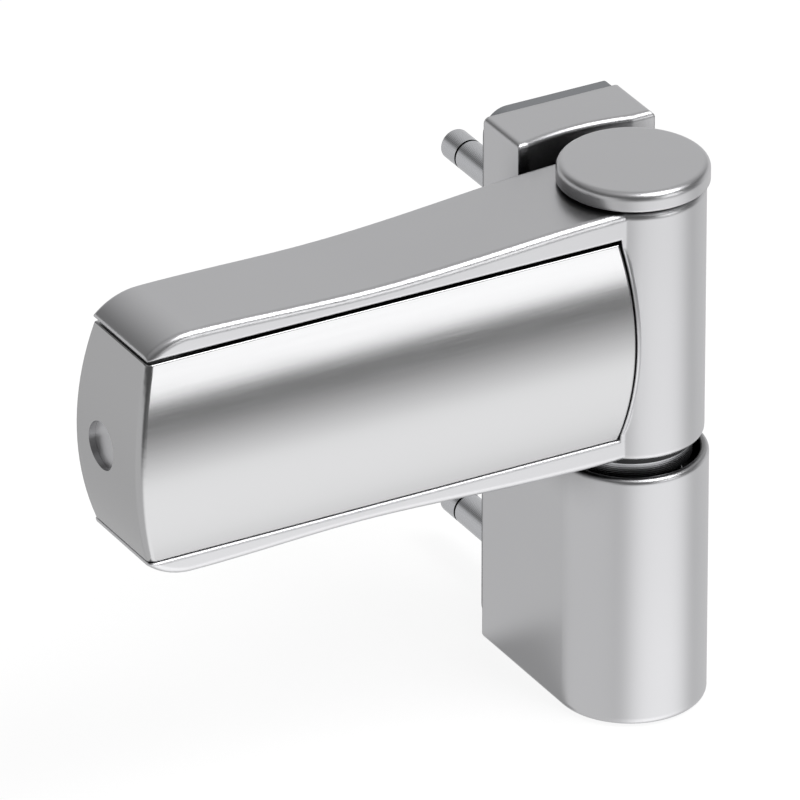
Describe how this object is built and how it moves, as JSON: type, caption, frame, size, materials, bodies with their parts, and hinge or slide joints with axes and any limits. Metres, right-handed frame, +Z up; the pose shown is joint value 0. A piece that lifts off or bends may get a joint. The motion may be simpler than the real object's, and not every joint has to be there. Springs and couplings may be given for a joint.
{
  "type": "door_hinge",
  "caption": "Silver two-part door hinge with a bowed clip-on leaf cover, round knuckle and cap, D-shaped frame housing on studs, adjustable in height, sideways and in seal pressure",
  "frame": {"origin": "on the mounting face of the frame side, midway between the two studs", "axes": "+Y out of the mounting face into the door frame, +Z up along the barrel, the closed leaf reaches along -X"},
  "size_m": [0.1015, 0.0663, 0.0899],
  "materials": {
    "satin_casting": "satin silver die casting",
    "satin_sheet": "satin anodised cover",
    "grey_plate": "matt grey coating",
    "turned_steel": "turned",
    "zinc_steel": "zinc plated",
    "spring_steel": "phosphated spring steel",
    "black_polymer": "moulded bearing polymer",
    "silver_plastic": "silver coloured moulding"
  },
  "bodies": {
    "frame": {"frame_housing": "satin_casting", "base_plate": "grey_plate", "upper_stud": "turned_steel", "lower_stud": "turned_steel", "lock_screw": "zinc_steel"},
    "pad": {"thrust_pad": "turned_steel"},
    "height_screw": {"height_screw": "zinc_steel"},
    "eccentric": {"eccentric_bush": "turned_steel"},
    "sleeve": {"pin_sleeve": "black_polymer"},
    "pin": {"hinge_pin": "turned_steel"},
    "leaf": {"leaf_body": "satin_casting", "front_cover": "satin_sheet", "end_plug": "silver_plastic", "top_cap": "satin_casting", "lower_bush": "black_polymer", "upper_bush": "black_polymer"},
    "sash": {"sash_plate": "zinc_steel", "slide_nut": "turned_steel", "clamp_screws": "zinc_steel", "clamp_washers": "zinc_steel"},
    "lateral_screw": {"lateral_screw": "zinc_steel", "retaining_clip": "spring_steel"}
  },
  "joints": [
    {"name": "screw_rise", "type": "slide", "parent": "frame", "child": "pad", "axis": [0, 0, 1], "range_m": [-0.001, 0.003]},
    {"name": "height_turn", "type": "hinge", "parent": "pad", "child": "height_screw", "pos_m": [0, -0.0264, 0], "axis": [0, 0, 1], "range_deg": [-240, 720]},
    {"name": "compression_turn", "type": "hinge", "parent": "frame", "child": "eccentric", "pos_m": [-0.0008, -0.0264, 0], "axis": [0, 0, 1], "range_deg": [-60, 60]},
    {"name": "sleeve_hold", "type": "hinge", "parent": "eccentric", "child": "sleeve", "pos_m": [0, -0.0264, 0], "axis": [0, 0, 1], "range_deg": [-60, 60]},
    {"name": "leaf_lift", "type": "slide", "parent": "sleeve", "child": "pin", "axis": [0, 0, 1], "range_m": [-0.001, 0.003]},
    {"name": "leaf_swing", "type": "hinge", "parent": "pin", "child": "leaf", "pos_m": [0, -0.0264, 0], "axis": [0, 0, 1], "range_deg": [0, 180]},
    {"name": "lateral_turn", "type": "hinge", "parent": "leaf", "child": "lateral_screw", "pos_m": [-0.08, -0.0264, 0.0273], "axis": [1, 0, 0], "range_deg": [-1080, 1080]},
    {"name": "lateral_shift", "type": "slide", "parent": "leaf", "child": "sash", "axis": [1, 0, 0], "range_m": [-0.003, 0.003]}
  ],
  "couplings": [
    {"joint": "screw_rise", "follows": "leaf_lift", "ratio": 1},
    {"joint": "height_turn", "follows": "leaf_lift", "rad_per_m": 4188.7},
    {"joint": "sleeve_hold", "follows": "compression_turn", "ratio": -1},
    {"joint": "lateral_turn", "follows": "lateral_shift", "rad_per_m": -6283}
  ]
}
